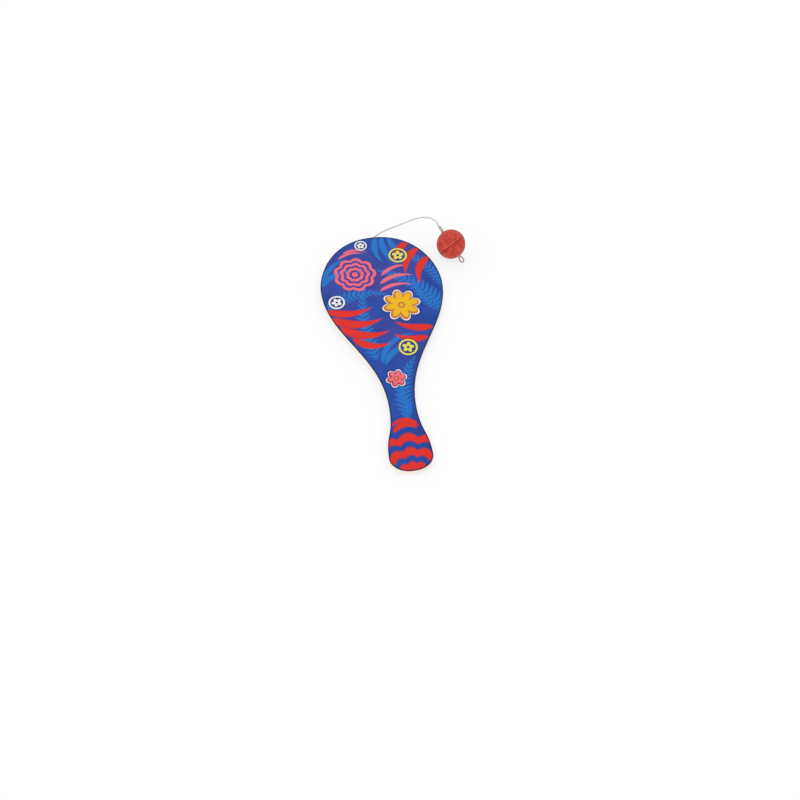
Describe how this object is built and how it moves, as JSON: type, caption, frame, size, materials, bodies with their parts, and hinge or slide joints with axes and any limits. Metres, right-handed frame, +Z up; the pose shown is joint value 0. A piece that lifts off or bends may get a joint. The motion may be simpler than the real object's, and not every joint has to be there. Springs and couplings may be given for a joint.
{
  "type": "paddle ball game",
  "caption": "Printed plywood paddle with a sponge rubber ball on an elastic that is stapled to the back of the blade.",
  "frame": {"origin": "on the table, under the middle of the box round the paddle and the ball", "axes": "+Y from the handle to the top of the blade, +Z up, out of the printed face; the paddle rests on the staple and its handle, tilted by half a degree"},
  "size_m": [0.1346, 0.2513, 0.026],
  "materials": {
    "plywood": "bare sanded veneer",
    "plywood_core": "bare cut edge",
    "printed_paper": "satin print",
    "staple_wire": "galvanised",
    "elastic": "matte",
    "sponge_rubber": "matte, open skin"
  },
  "bodies": {
    "paddle": {"face_ply": "plywood", "core_ply": "plywood_core", "back_ply": "plywood", "print_film": "printed_paper", "staple": "staple_wire", "elastic_anchor": "elastic"},
    "elastic_turn": {"elastic_exit": "elastic"},
    "elastic_tether": {"elastic_cord": "elastic"},
    "elastic_end": {"elastic_bight": "elastic"},
    "ball": {"ball": "sponge_rubber"}
  },
  "joints": [
    {"name": "tether_swing", "type": "hinge", "parent": "paddle", "child": "elastic_turn", "pos_m": [-0.01342, 0.05244, 0.00088], "axis": [0, -0.009, 1], "range_deg": [-75, 75]},
    {"name": "tether_drop", "type": "hinge", "parent": "elastic_turn", "child": "elastic_tether", "pos_m": [-0.01342, 0.05644, 0.00091], "axis": [-0.4903, 0.8715, 0], "range_deg": [0, 120]},
    {"name": "ball_pull", "type": "slide", "parent": "elastic_tether", "child": "elastic_end", "axis": [0.8715, 0.4903, 0], "range_m": [0, 0.25], "stiffness_N_per_m": 6, "deforming": ["elastic_cord"]},
    {"name": "ball_spin", "type": "hinge", "parent": "elastic_end", "child": "ball", "pos_m": [0.05427, 0.09453, 0.013], "axis": [-0.5104, 0.6773, 0.5299], "range_deg": [-180, 180]}
  ]
}
